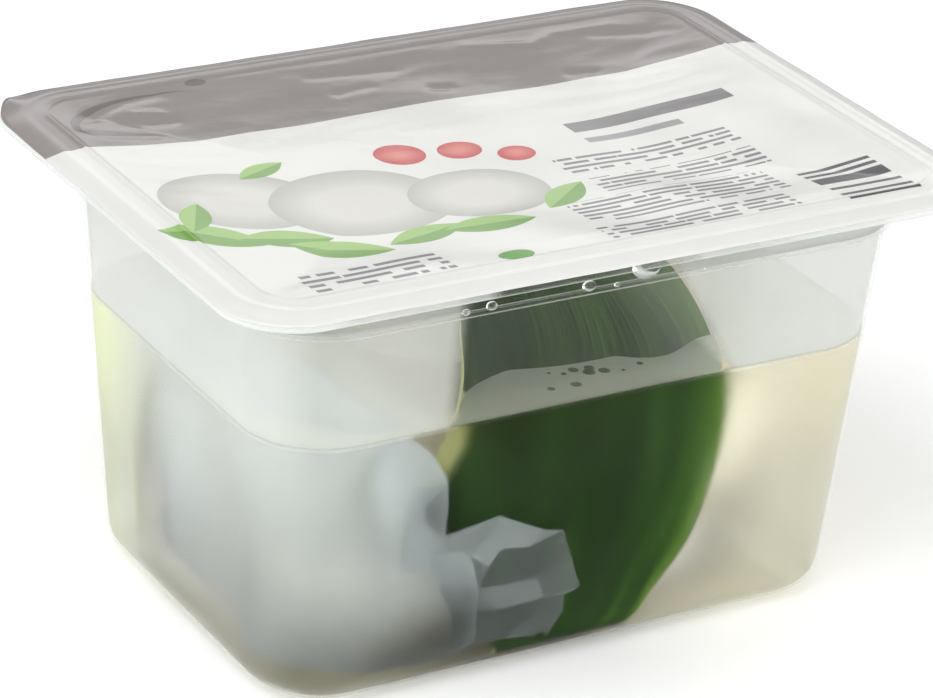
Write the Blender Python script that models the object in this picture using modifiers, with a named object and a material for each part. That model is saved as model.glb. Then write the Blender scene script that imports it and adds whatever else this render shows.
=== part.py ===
"""Burrata in brine, in a sealed tub.

A frosted rounded-rectangle tub with a flat sealing flange is closed by a printed
film.  Inside, a burrata rests on the base in brine up to a little over half the
height.  A broad green leaf is wrapped over the cheese, and the gathered end of its
thin film bag stands in the brine round its left and front.

Frame: metres, +Z up, X along the tub's long side, origin on the ground under the
middle of the base.
"""

from math import cos, pi, radians, sin, sqrt

import bmesh
import bpy
from mathutils import Vector

MM = 0.001

# Tub: outside sizes.
RIM_HEIGHT = 0.082
LAND_LENGTH = 0.140
LAND_WIDTH = 0.1005
LAND_RADIUS = 0.0115
LIP_REACH = 0.0033
LIP_DROP = 0.0009
LIP_RADIUS = 0.0130
LEDGE_HEIGHT = 0.0725
LEDGE_LENGTH = 0.127
LEDGE_WIDTH = 0.0875
LEDGE_STEP = 0.0010
LEDGE_RISE = 0.0004
SHOULDER_FLARE = 0.0003
FLANGE_FILLET = 0.0009
BASE_LENGTH = 0.117
BASE_WIDTH = 0.0796
WALL_RADIUS = 0.0150
BASE_FILLET = 0.0058
BASE_FILLET_STEPS = 4
FOOT_WIDTH = 0.0045
PANEL_SLOPE = 0.0015
PANEL_RISE = 0.0008
TUB_WALL = 0.0008
CORNER_STEPS = 6

# Sealing film.
FILM_THICKNESS = 0.0004
FILM_SAG = 0.0030
SEAL_WIDTH = 0.0052
SEAL_BEAD = 0.0003
SEAL_BEAD_WIDTH = 0.0012
SAG_RINGS = 6

# Contents.
GAP = 0.0003
RIM_SHARE = 0.999
BRINE_LEVEL = 0.0513
BALL_CENTRE = Vector((0.008, 0.003, 0.033))
BALL_RADII = Vector((0.049, 0.037, 0.032))
BALL_FLAT = 0.0311
BALL_SEGMENTS = 34
BALL_RINGS = 18
FOLD_DEPTH = 0.0011
FOLD_COUNT = 5

# Leaf: thickness, and its route from the foot at the front wall, up the front of
# the cheese, over its crown and down to the tip in the far left corner.  A row has
# the middle line's x, y, z, the half width to either side and how far each edge lies
# back from the middle, in millimetres.
LEAF_THICKNESS = 0.0008
LEAF_BACKING = 0.0018
LEAF_CLEARANCE = 0.0017
LEAF_STATIONS = 30
LEAF_STRIPS = 6
LEAF_ROUTE = (
    (-0.9, -35.2, 4.4, 12.0, 12.0, 1.5, -0.2),
    (-0.5, -35.4, 10.0, 17.0, 19.5, 4.0, -0.6),
    (1.0, -35.3, 20.5, 24.0, 25.5, 6.4, -0.4),
    (3.5, -35.3, 34.0, 25.0, 27.0, 6.4, 1.0),
    (6.5, -31.5, 45.5, 23.5, 26.0, 5.0, 0.8),
    (8.0, -27.2, 52.2, 22.5, 24.0, 4.0, 0.4),
    (8.5, -18.5, 59.8, 20.0, 20.5, 3.0, 0.8),
    (6.5, -4.0, 65.5, 17.0, 17.5, 2.4, 1.8),
    (-1.0, 12.0, 63.9, 15.0, 16.0, 1.6, 2.0),
    (-13.0, 24.5, 55.0, 12.5, 15.0, 1.0, 2.0),
    (-28.0, 31.5, 43.0, 11.0, 13.0, 0.5, 1.0),
    (-44.0, 30.0, 26.0, 10.0, 11.0, 0.0, 0.5),
    (-52.5, 21.0, 8.0, 5.0, 6.0, 0.0, 0.0),
)

# Gathered film bag: thickness, pleats, and its route in plan from the left end of the
# tub round the corner to the middle of the front.  A row has x, y, the height of the
# lower and of the upper edge, how far the upper edge leans out and how deep the
# pleats are, in millimetres.
BAG_THICKNESS = 0.0008
BAG_CLEARANCE = 0.0021
BAG_STATIONS = 54
BAG_ROWS = 5
BAG_PLEATS = 8
BAG_GATHER = 0.4
BAG_WANDER = 1.6
BAG_WANDER_TURNS = 2.3
BAG_SLANT = 1.4
BAG_CRUMPLE = 0.3
BAG_CRUMPLES = 19.2
BAG_CRUMPLE_SLANT = 6.0
BAG_EDGE_WAVE = 0.0022
BAG_EDGE_WAVES = 6.5
BAG_ROUTE = (
    (-49.5, 15.0, 13.0, 60.0, 0.0, 1.6),
    (-54.0, 5.0, 10.0, 64.0, -1.5, 1.8),
    (-50.5, -8.0, 8.0, 66.0, 1.0, 1.8),
    (-54.5, -21.0, 6.0, 65.0, -1.5, 1.6),
    (-50.0, -31.5, 5.0, 61.0, 0.5, 1.4),
    (-40.0, -35.0, 5.0, 54.0, -0.5, 1.6),
    (-29.0, -35.0, 5.0, 47.0, 0.5, 1.6),
    (-19.0, -37.0, 4.5, 33.0, 0.0, 1.2),
    (-9.0, -38.5, 4.5, 29.0, 0.0, 0.9),
    (-0.5, -38.5, 6.0, 19.0, 0.0, 0.5),
)


def clear_scene():
    for item in list(bpy.data.objects):
        bpy.data.objects.remove(item, do_unlink=True)


def collection(name, hidden=False):
    group = bpy.data.collections.new(name)
    bpy.context.scene.collection.children.link(group)
    group.hide_render = hidden
    return group


def finish(name, colour, roughness, alpha=1.0):
    """A plain Principled material in linear colour."""
    material = bpy.data.materials.new(name)
    material.use_nodes = True
    shader = material.node_tree.nodes["Principled BSDF"]
    shader.inputs["Base Color"].default_value = (*colour, 1.0)
    shader.inputs["Roughness"].default_value = roughness
    shader.inputs["Metallic"].default_value = 0.0
    shader.inputs["Alpha"].default_value = alpha
    return material


def add_object(name, bm, group, material=None):
    """Turn a bmesh into an object of the group, shaded smooth with its edges kept."""
    mesh = bpy.data.meshes.new(name)
    bm.to_mesh(mesh)
    bm.free()
    mesh.shade_smooth()
    mesh.set_sharp_from_angle(angle=radians(35))
    item = bpy.data.objects.new(name, mesh)
    group.objects.link(item)
    if material:
        mesh.materials.append(material)
    return item


def thicken(item, thickness, offset):
    """Give an open surface its wall."""
    wall = item.modifiers.new("wall", "SOLIDIFY")
    wall.thickness = thickness
    wall.offset = offset
    wall.use_even_offset = True
    wall.use_quality_normals = True


def rounded_rectangle(length, width, radius, height):
    """Corner points of a rounded rectangle, anticlockwise from the front right."""
    ring = []
    for turn, side_x, side_y in ((-90, 1, -1), (0, 1, 1), (90, -1, 1), (180, -1, -1)):
        centre_x = side_x * (length / 2 - radius)
        centre_y = side_y * (width / 2 - radius)
        for step in range(CORNER_STEPS + 1):
            angle = radians(turn + 90 * step / CORNER_STEPS)
            x = centre_x + radius * cos(angle)
            y = centre_y + radius * sin(angle)
            ring.append(Vector((x, y, height)))
    return ring


def loft(rings, cap_first=False, cap_last=False):
    """Skin a row of rings that have equal numbers of points, from first to last."""
    bm = bmesh.new()
    loops = [[bm.verts.new(point) for point in ring] for ring in rings]
    count = len(rings[0])
    for lower, upper in zip(loops, loops[1:]):
        for i in range(count):
            j = (i + 1) % count
            bm.faces.new((lower[i], lower[j], upper[j], upper[i]))
    if cap_first:
        bm.faces.new(reversed(loops[0]))
    if cap_last:
        bm.faces.new(loops[-1])
    return bm


def wall_size(height):
    """Outside length and width of the tapered wall at a height."""
    share = height / LEDGE_HEIGHT
    length = BASE_LENGTH + (LEDGE_LENGTH - BASE_LENGTH) * share
    width = BASE_WIDTH + (LEDGE_WIDTH - BASE_WIDTH) * share
    return length, width


def base_rings(inset):
    """Rings of the base, from its raised panel to the top of its fillet.

    The inset moves the whole surface inwards, for the inside of the tub.
    """
    rings = []
    length, width = wall_size(BASE_FILLET)
    foot = BASE_FILLET + FOOT_WIDTH
    for side, rise in ((foot + PANEL_SLOPE, PANEL_RISE), (foot, 0.0)):
        radius = WALL_RADIUS - side
        rings.append(rounded_rectangle(length - 2 * side, width - 2 * side, radius, rise + inset))
    for step in range(BASE_FILLET_STEPS + 1):
        angle = radians(90 * step / BASE_FILLET_STEPS)
        side = BASE_FILLET - (BASE_FILLET - inset) * sin(angle)
        height = BASE_FILLET - (BASE_FILLET - inset) * cos(angle)
        radius = WALL_RADIUS - side
        rings.append(rounded_rectangle(length - 2 * side, width - 2 * side, radius, height))
    return rings


def inside_tub(point, clearance):
    """Move a point inwards until it is clear of the tub's inner wall and base."""
    inset = TUB_WALL + clearance
    x, y, z = point
    z = max(z, inset + PANEL_RISE)
    length, width = wall_size(z)
    side = inset
    if z < BASE_FILLET:
        run = BASE_FILLET - inset
        drop = min(1.0, (BASE_FILLET - z) / run)
        side = BASE_FILLET - run * sqrt(1 - drop * drop)
    radius = WALL_RADIUS - inset
    half_x = length / 2 - side
    half_y = width / 2 - side
    sign_x = 1 if x > 0 else -1
    sign_y = 1 if y > 0 else -1
    x = sign_x * min(abs(x), half_x)
    y = sign_y * min(abs(y), half_y)
    corner = Vector((sign_x * (half_x - radius), sign_y * (half_y - radius)))
    out = Vector((x, y)) - corner
    if out.x * sign_x > 0 and out.y * sign_y > 0 and out.length > radius:
        x, y = corner + out * (radius / out.length)
    return Vector((x, y, z))


def outside_ball(point, clearance):
    """Move a point outwards until it is clear of the cheese."""
    out = point - BALL_CENTRE
    reach = sqrt(sum((out[i] / (BALL_RADII[i] + clearance)) ** 2 for i in range(3)))
    if reach < 1:
        return BALL_CENTRE + out / reach
    return point


def on_route(route, share):
    """Smooth (Catmull-Rom) values at a share of a route's length, in metres."""
    place = share * (len(route) - 1)
    index = min(int(place), len(route) - 2)
    t = place - index
    rows = [route[max(0, min(len(route) - 1, index + k))] for k in (-1, 0, 1, 2)]
    values = []
    for p0, p1, p2, p3 in zip(*rows):
        bend = (2 * p0 - 5 * p1 + 4 * p2 - p3) * t * t + (3 * p1 - p0 - 3 * p2 + p3) * t ** 3
        values.append(0.5 * (2 * p1 + (p2 - p0) * t + bend) * MM)
    return values


def shaped_grid(columns, rows, place, grow):
    """An open sheet of columns by rows cells, laid out by the function.

    place gives a point of the sheet and the sheet's two directions there.  The rim
    of a sheet that grows lies that much further out, all round.
    """
    bm = bmesh.new()
    bmesh.ops.create_grid(bm, x_segments=columns, y_segments=rows, size=0.5)
    for vertex in bm.verts:
        u = vertex.co.x + 0.5
        v = vertex.co.y + 0.5
        point, along, across = place(u, v)
        rim_u = round(2 * u - 1) if abs(2 * u - 1) > RIM_SHARE else 0
        rim_v = round(2 * v - 1) if abs(2 * v - 1) > RIM_SHARE else 0
        vertex.co = point + (along * rim_u + across * rim_v) * grow
    bmesh.ops.triangulate(bm, faces=bm.faces[:], quad_method="FIXED")
    return bm


def make_tub(group):
    """Thermoformed tub: tapered wall, denesting ledge, flat flange and turned lip."""
    rings = base_rings(0.0)
    rings.append(rounded_rectangle(LEDGE_LENGTH, LEDGE_WIDTH, WALL_RADIUS, LEDGE_HEIGHT))
    under_land = RIM_HEIGHT - TUB_WALL
    steps = (
        (LEDGE_STEP, LEDGE_HEIGHT + LEDGE_RISE),
        (LEDGE_STEP + SHOULDER_FLARE, under_land - FLANGE_FILLET),
        (LEDGE_STEP + SHOULDER_FLARE + FLANGE_FILLET, under_land),
    )
    for out, height in steps:
        length = LEDGE_LENGTH + 2 * out
        width = LEDGE_WIDTH + 2 * out
        rings.append(rounded_rectangle(length, width, WALL_RADIUS + out, height))
    rings.append(rounded_rectangle(LAND_LENGTH, LAND_WIDTH, LAND_RADIUS, under_land))
    lip_length = LAND_LENGTH + 2 * LIP_REACH
    lip_width = LAND_WIDTH + 2 * LIP_REACH
    rings.append(rounded_rectangle(lip_length, lip_width, LIP_RADIUS, under_land - LIP_DROP))
    bm = loft(rings, cap_first=True)
    frosted = finish("frosted_polypropylene", (0.80, 0.82, 0.78), 0.35, 0.45)
    tub = add_object("tub", bm, group, frosted)
    thicken(tub, TUB_WALL, -1.0)


def make_lid_film(group):
    """Sealing film: over the lip and the flange, down a little inside the mouth."""
    land = RIM_HEIGHT + GAP
    seal_length = LAND_LENGTH - 2 * SEAL_WIDTH
    seal_width = LAND_WIDTH - 2 * SEAL_WIDTH
    seal_radius = LAND_RADIUS
    lip_length = LAND_LENGTH + 2 * LIP_REACH
    lip_width = LAND_WIDTH + 2 * LIP_REACH
    bead = SEAL_BEAD_WIDTH
    rings = [
        rounded_rectangle(lip_length, lip_width, LIP_RADIUS, land - LIP_DROP),
        rounded_rectangle(LAND_LENGTH, LAND_WIDTH, LAND_RADIUS, land),
        rounded_rectangle(seal_length + 2 * bead, seal_width + 2 * bead, seal_radius, land),
        rounded_rectangle(seal_length + bead, seal_width + bead, seal_radius, land + SEAL_BEAD),
        rounded_rectangle(seal_length, seal_width, seal_radius, land),
    ]
    reach = seal_width / 2 - seal_radius * 0.5
    for ring in range(1, SAG_RINGS + 1):
        share = ring / SAG_RINGS
        side = reach * share
        radius = seal_radius * (1 - 0.6 * share)
        sag = FILM_SAG * sin(pi / 2 * share)
        length = seal_length - 2 * side
        width = seal_width - 2 * side
        rings.append(rounded_rectangle(length, width, radius, land - sag))
    bm = loft(rings, cap_last=True)
    printed = finish("printed_film", (0.82, 0.82, 0.81), 0.25)
    lid = add_object("lid_film", bm, group, printed)
    thicken(lid, FILM_THICKNESS, 1.0)


def ball_mesh(grow):
    """Flattened ball with soft folds over its upper half and a flat to rest on."""
    bm = bmesh.new()
    bmesh.ops.create_uvsphere(bm, u_segments=BALL_SEGMENTS, v_segments=BALL_RINGS, radius=1.0)
    for vertex in bm.verts:
        way = vertex.co.normalized()
        turn = Vector((way.x, way.y, 0.0)).angle(Vector((1, 0, 0)), 0.0)
        fold = sin(FOLD_COUNT * turn) ** 2 * max(0.0, way.z) * (1 - way.z * way.z)
        inward = FOLD_DEPTH * fold
        spot = Vector([way[i] * (BALL_RADII[i] + grow - inward) for i in range(3)])
        spot.z = max(spot.z, -BALL_FLAT - grow)
        vertex.co = BALL_CENTRE + spot
    return bm


def make_burrata(group):
    """The cheese: a soft pouch that settles on the base."""
    curd = finish("fresh_curd", (0.82, 0.80, 0.70), 0.45)
    add_object("burrata", ball_mesh(0.0), group, curd)


def leaf_mesh(grow):
    """The leaf's middle surface; grow widens and lengthens it for its cutter."""

    def middle(share):
        return Vector(on_route(LEAF_ROUTE, share)[:3])

    def place(u, v):
        x, y, z, left, right, left_back, right_back = on_route(LEAF_ROUTE, u)
        centre = Vector((x, y, z))
        step = 0.01
        along = (middle(min(1.0, u + step)) - middle(max(0.0, u - step))).normalized()
        out = centre - BALL_CENTRE
        out = Vector([out[i] / BALL_RADII[i] ** 2 for i in range(3)])
        out = (out - along * out.dot(along)).normalized()
        across = along.cross(out)
        side = 2 * v - 1
        half = right if side > 0 else left
        back = right_back * side * side if side > 0 else -left_back * side
        point = centre + across * half * side - out * back
        point = inside_tub(point, LEAF_CLEARANCE)
        return outside_ball(point, GAP + LEAF_THICKNESS), along, across

    return shaped_grid(LEAF_STATIONS, LEAF_STRIPS, place, grow)


def make_leaf(group):
    """Green leaf wrapped over the cheese."""
    green = finish("green_leaf", (0.055, 0.115, 0.025), 0.45)
    leaf = add_object("leaf", leaf_mesh(0.0), group, green)
    thicken(leaf, LEAF_THICKNESS, 0.0)


def bag_mesh(grow):
    """The gathered bag's middle surface: a pleated curtain with a ragged edge."""

    def place(u, v):
        x, y, low, high, lean, depth = on_route(BAG_ROUTE, u)
        step = 0.01
        ahead = Vector(on_route(BAG_ROUTE, min(1.0, u + step))[:2])
        behind = Vector(on_route(BAG_ROUTE, max(0.0, u - step))[:2])
        along = (ahead - behind).normalized()
        out = Vector((-along.y, along.x))
        wander = BAG_WANDER * sin(2 * pi * BAG_WANDER_TURNS * u) + BAG_SLANT * v
        wave = sin(2 * pi * BAG_PLEATS * u + wander)
        wave += BAG_CRUMPLE * sin(2 * pi * BAG_CRUMPLES * u + BAG_CRUMPLE_SLANT * v)
        high += BAG_EDGE_WAVE * sin(2 * pi * BAG_EDGE_WAVES * u)
        lift = v - 0.5
        shift = depth * wave * (1 - BAG_GATHER * lift) + 2 * lean * lift
        spot = Vector((x, y)) + out * shift
        point = Vector((*spot, low + (high - low) * v))
        return inside_tub(point, BAG_CLEARANCE), along.to_3d(), Vector((0, 0, 1))

    return shaped_grid(BAG_STATIONS, BAG_ROWS, place, grow)


def make_film_bag(group):
    """The gathered end of the thin film bag that the cheese comes in."""
    film = finish("thin_film", (0.62, 0.68, 0.70), 0.30, 0.60)
    bag = add_object("film_bag", bag_mesh(0.0), group, film)
    thicken(bag, BAG_THICKNESS, 0.0)


def cut_away(target, cutter):
    """Take the cutter's volume out of the target."""
    cut = target.modifiers.new(cutter.name, "BOOLEAN")
    cut.operation = "DIFFERENCE"
    cut.object = cutter
    cut.solver = "EXACT"
    cutter.display_type = "WIRE"
    cutter.hide_render = True


def make_brine(group, cutters):
    """Brine up to its level, cut round the cheese, the leaf and the bag."""
    inset = TUB_WALL + GAP
    rings = base_rings(inset)
    length, width = wall_size(BRINE_LEVEL)
    length -= 2 * inset
    width -= 2 * inset
    rings.append(rounded_rectangle(length, width, WALL_RADIUS - inset, BRINE_LEVEL))
    bm = loft(rings, cap_first=True, cap_last=True)
    milky = finish("milky_brine", (0.70, 0.72, 0.64), 0.10, 0.55)
    brine = add_object("brine", bm, group, milky)

    cut_away(brine, add_object("cut_ball", ball_mesh(GAP), cutters))

    leaf = add_object("cut_leaf", leaf_mesh(GAP), cutters)
    front = LEAF_THICKNESS / 2 + GAP
    thicken(leaf, front + LEAF_BACKING, (front - LEAF_BACKING) / (front + LEAF_BACKING))
    cut_away(brine, leaf)

    bag = add_object("cut_bag", bag_mesh(GAP), cutters)
    thicken(bag, BAG_THICKNESS + 2 * GAP, 0.0)
    cut_away(brine, bag)


def build():
    clear_scene()
    parts = collection("burrata_tub")
    cutters = collection("cutters", hidden=True)
    make_tub(parts)
    make_lid_film(parts)
    make_burrata(parts)
    make_leaf(parts)
    make_film_bag(parts)
    make_brine(parts, cutters)


build()
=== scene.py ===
"""Burrata in brine, in a sealed tub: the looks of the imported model.

The object is put together from the tub inwards and then closed: tub, brine, cheese,
leaf, film bag, drops, sealing film.  Metres, +Z up, the tub's long side along X.
"""

from math import atan2, ceil, copysign, cos, exp, hypot, pi, radians, sin, sqrt

import bmesh
import bpy
from mathutils import Matrix, Quaternion, Vector, noise


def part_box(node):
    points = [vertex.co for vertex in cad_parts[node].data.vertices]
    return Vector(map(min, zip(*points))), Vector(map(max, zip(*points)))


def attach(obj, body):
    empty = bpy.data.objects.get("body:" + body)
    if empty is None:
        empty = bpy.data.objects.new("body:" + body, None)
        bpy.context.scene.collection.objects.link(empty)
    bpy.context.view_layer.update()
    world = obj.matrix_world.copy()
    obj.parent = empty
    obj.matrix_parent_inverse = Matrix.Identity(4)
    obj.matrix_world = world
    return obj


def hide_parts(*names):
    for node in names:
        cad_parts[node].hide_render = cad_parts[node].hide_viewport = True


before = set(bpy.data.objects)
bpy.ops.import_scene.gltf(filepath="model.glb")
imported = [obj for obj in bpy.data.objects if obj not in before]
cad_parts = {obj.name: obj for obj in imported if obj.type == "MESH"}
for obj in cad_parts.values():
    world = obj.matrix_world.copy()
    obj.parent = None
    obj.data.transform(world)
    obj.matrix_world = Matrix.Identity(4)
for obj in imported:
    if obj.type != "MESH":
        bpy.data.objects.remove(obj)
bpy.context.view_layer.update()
MM = 0.001


# ---------------------------------------------------------------------------------
# Tub.  One sheet of polypropylene, thermoformed to a wall of 0.8 mm.  It tapers to a
# rounded foot, a ledge keeps stacked tubs apart, and the flange's rim is turned down.
# ---------------------------------------------------------------------------------
tub_low, tub_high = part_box("tub")
LIP_REACH = 3.3 * MM
LIP_DROP = 0.9 * MM
LIP_LENGTH = tub_high.x - tub_low.x
LIP_WIDTH = tub_high.y - tub_low.y
LAND_LENGTH = LIP_LENGTH - 2 * LIP_REACH
LAND_WIDTH = LIP_WIDTH - 2 * LIP_REACH
LAND_RADIUS = 11.5 * MM
RIM_HEIGHT = tub_high.z
LEDGE_HEIGHT = 72.5 * MM
LEDGE_LENGTH = 127.0 * MM
LEDGE_WIDTH = 87.5 * MM
LEDGE_STEP = 1.0 * MM
BASE_LENGTH = 117.0 * MM
BASE_WIDTH = 79.6 * MM
WALL_RADIUS = 15.0 * MM
BASE_FILLET = 5.8 * MM
FOOT_WIDTH = 4.5 * MM
PANEL_RISE = 0.8 * MM
TUB_WALL = 0.8 * MM
CORNER_STEPS = 18
FILLET_STEPS = 7
BRINE_LEVEL = 51.3 * MM
# The fog's edges beside the leaf: where it starts, where it is full, and its share.
FOG_EDGES = (
    (-27.0 * MM, -31.5 * MM, 0.91), (4.0 * MM, 21.0 * MM, 0.2), (21.0 * MM, 24.5 * MM, 0.71),
)
LEAF_SLANT = 0.6
LEAF_SLANT_HEIGHT = 59.5 * MM


def grow_ring(bm, edges, shape):
    """Extrude a rim and lay the new one out as a rounded rectangle at a height.

    A shape is (length, width, corner radius, height).  A point keeps its share of
    the straight run or its direction round the corner.
    """
    old = grow_ring.last
    grow_ring.last = shape
    made = bmesh.ops.extrude_edge_only(bm, edges=edges)["geom"]
    points = {item for item in made if isinstance(item, bmesh.types.BMVert)}
    for point in points:
        place = []
        for axis in (0, 1):
            half_old = old[axis] / 2 - old[2]
            half_new = shape[axis] / 2 - shape[2]
            core = max(-half_old, min(half_old, point.co[axis]))
            turn = (point.co[axis] - core) * shape[2] / old[2]
            place.append(core * half_new / half_old + turn)
        point.co = Vector((*place, shape[3]))
    return [
        item for item in made
        if isinstance(item, bmesh.types.BMEdge) and set(item.verts) <= points
    ]


def start_ring(bm, shape, faces_up, run_cuts=0):
    """A flat face with rounded corners, and its rim's edges."""
    length, width, radius, height = shape
    bmesh.ops.create_grid(bm, x_segments=1, y_segments=1, size=0.5)
    bmesh.ops.scale(bm, vec=(length, width, 1.0), verts=bm.verts)
    bmesh.ops.translate(bm, vec=(0.0, 0.0, height), verts=bm.verts)
    bmesh.ops.bevel(
        bm, geom=bm.verts[:], affect="VERTICES", offset=radius,
        segments=CORNER_STEPS, profile=0.5, material=-1, clamp_overlap=False,
    )
    if run_cuts:
        runs = [edge for edge in bm.edges if edge.calc_length() > radius]
        bmesh.ops.subdivide_edges(bm, edges=runs, cuts=run_cuts)
    if not faces_up:
        bmesh.ops.reverse_faces(bm, faces=bm.faces)
    grow_ring.last = shape
    return bm.edges[:]


def wall_size(height):
    """Outside length and width of the tapered wall."""
    share = height / LEDGE_HEIGHT
    length = BASE_LENGTH + (LEDGE_LENGTH - BASE_LENGTH) * share
    width = BASE_WIDTH + (LEDGE_WIDTH - BASE_WIDTH) * share
    return length, width


def wall_ring(height, inset=0.0):
    """The wall's ring at a height, this far inside its outer face."""
    length, width = wall_size(height)
    return (length - 2 * inset, width - 2 * inset, WALL_RADIUS - inset, height)


def base_shapes(inset):
    """The base's rings from its raised panel to just over its fillet.

    The last ring lies close over the fillet, so that the tall wall shades flat.
    """
    length, width = wall_size(BASE_FILLET)
    foot = BASE_FILLET + FOOT_WIDTH
    slope = foot + 1.5 * MM
    shapes = []
    for side, rise in ((slope, PANEL_RISE), (foot, 0.0)):
        shapes.append((length - 2 * side, width - 2 * side, WALL_RADIUS - side, rise + inset))
    for step in range(FILLET_STEPS + 1):
        angle = pi / 2 * step / FILLET_STEPS
        side = BASE_FILLET - (BASE_FILLET - inset) * sin(angle)
        height = BASE_FILLET - (BASE_FILLET - inset) * cos(angle)
        shapes.append((length - 2 * side, width - 2 * side, WALL_RADIUS - side, height))
    shapes.append(wall_ring(BASE_FILLET + 1.2 * MM, inset))
    return shapes


def add_piece(name, bm, slot, *nodes, flat=False):
    """Make the bmesh a piece of the object that stands for these CAD nodes."""
    mesh = bpy.data.meshes.new(name)
    bm.to_mesh(mesh)
    bm.free()
    if not flat:
        mesh.shade_smooth()
    piece = bpy.data.objects.new(name, mesh)
    bpy.context.scene.collection.objects.link(piece)
    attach(piece, "root")
    if nodes:
        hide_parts(*nodes)
    return piece


def linear(code):
    """An sRGB hex colour as linear RGBA."""
    parts = [int(code[i:i + 2], 16) / 255 for i in (0, 2, 4)]
    light = [c / 12.92 if c <= 0.04045 else ((c + 0.055) / 1.055) ** 2.4 for c in parts]
    return (*light, 1.0)


def new_finish(name):
    """A material with an empty node tree."""
    finish = bpy.data.materials.new(name)
    finish.use_nodes = True
    finish.node_tree.nodes.clear()
    return finish, finish.node_tree


def add(tree, kind, inputs=None, **settings):
    """Add a shader node: its settings, then its inputs, each a link or a value."""
    made = tree.nodes.new("ShaderNode" + kind)
    for name, value in settings.items():
        setattr(made, name, value)
    for name, value in (inputs or {}).items():
        if isinstance(value, bpy.types.NodeSocket):
            tree.links.new(value, made.inputs[name])
        else:
            made.inputs[name].default_value = value
    return made


def wall_finish(name, fog, haze, gloss):
    """Frosted polypropylene: clear plastic with a milky veil and a soft gloss.

    Above the brine the inside is fogged, except where the wet leaf leans on it.
    Near the left wall the inside's veil is painted whiter, standing in for the stronger light there.
    """
    finish, tree = new_finish(name)
    place = add(tree, "TexCoord").outputs["Object"]
    spot = add(tree, "SeparateXYZ", {0: place})
    dry = add(tree, "MapRange", {
        "Value": spot.outputs["Z"], "From Min": BRINE_LEVEL - 0.9 * MM,
        "From Max": BRINE_LEVEL + 0.6 * MM,
    }, interpolation_type="SMOOTHSTEP").outputs[0]
    mist = add(tree, "TexNoise", {"Vector": place, "Scale": 55.0, "Detail": 3.0}).outputs[0]
    slant = add(tree, "Math", {0: spot.outputs["Z"], 1: LEAF_SLANT_HEIGHT}, operation="SUBTRACT").outputs[0]
    slant = add(tree, "Math", {
        0: slant, 1: LEAF_SLANT, 2: spot.outputs["X"],
    }, operation="MULTIPLY_ADD").outputs[0]
    veil = fog * 0.09
    for clear_end, fog_start, share in FOG_EDGES:
        beside = add(tree, "MapRange", {
            "Value": slant if share < 0.9 else spot.outputs["X"], "From Min": clear_end,
            "From Max": fog_start, "To Max": fog * share,
        }, interpolation_type="SMOOTHSTEP").outputs[0]
        veil = add(tree, "Math", {0: beside, 1: veil}, operation="ADD").outputs[0]
    behind = add(tree, "MapRange", {
        "Value": spot.outputs["Y"], "From Min": -20 * MM, "From Max": 0.0, "To Max": fog,
    }).outputs[0]
    veil = add(tree, "Math", {0: veil, 1: behind}, operation="MAXIMUM").outputs[0]
    mist = add(tree, "MapRange", {"Value": mist, "To Min": 0.8, "To Max": 1.2}).outputs[0]
    right = add(tree, "MapRange", {
        "Value": spot.outputs["X"], "From Min": 21 * MM, "From Max": 32 * MM, "To Min": 1.0,
        "To Max": 1.45,
    }).outputs[0]
    mist = add(tree, "Math", {0: mist, 1: right}, operation="MULTIPLY").outputs[0]
    veil = add(tree, "Math", {0: veil, 1: mist}, operation="MULTIPLY").outputs[0]
    # Painted light: near the left wall the veil is made whiter, standing in for the stronger light falling
    # there.
    left = add(tree, "MapRange", {
        "Value": spot.outputs["X"], "From Min": -54 * MM, "From Max": -60 * MM, "To Max": haze,
    }, interpolation_type="SMOOTHSTEP").outputs[0]
    veil = add(tree, "Math", {0: veil, 1: left}, operation="ADD").outputs[0]
    veil = add(tree, "Math", {0: veil, 1: dry}, operation="MULTIPLY").outputs[0]
    edge = add(tree, "LayerWeight", {"Blend": 0.5}).outputs["Facing"]
    edge = add(tree, "Math", {0: edge, 1: 4.0}, operation="POWER").outputs[0]
    veil = add(tree, "Math", {0: edge, 1: 0.5, 2: veil}, operation="MULTIPLY_ADD").outputs[0]

    clear = add(tree, "BsdfTransparent", {"Color": linear("FCFCFB")}).outputs[0]
    front = add(tree, "BsdfDiffuse", {"Color": linear("F0F2F1")}).outputs[0]
    through = add(tree, "BsdfTranslucent", {"Color": linear("F0F2F1")}).outputs[0]
    milk = add(tree, "MixShader", {0: 0.5, 1: front, 2: through}).outputs[0]
    body = add(tree, "MixShader", {0: veil, 1: clear, 2: milk}).outputs[0]
    if gloss:
        ripple = add(tree, "TexNoise", {"Vector": place, "Scale": 60.0, "Detail": 1.0}).outputs[0]
        bump = add(tree, "Bump", {"Height": ripple, "Strength": 0.3, "Distance": 0.0005}).outputs[0]
        shine = add(tree, "BsdfAnisotropic", {"Color": (1, 1, 1, 1), "Roughness": 0.22,
                                              "Normal": bump}).outputs[0]
        mirror = add(tree, "Fresnel", {"IOR": gloss}).outputs[0]
        outside = add(tree, "NewGeometry").outputs["Backfacing"]
        outside = add(tree, "Math", {0: 1.0, 1: outside}, operation="SUBTRACT").outputs[0]
        mirror = add(tree, "Math", {0: mirror, 1: outside}, operation="MULTIPLY").outputs[0]
        body = add(tree, "MixShader", {0: mirror, 1: body, 2: shine}).outputs[0]
    add(tree, "OutputMaterial", {"Surface": body})
    return finish


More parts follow.
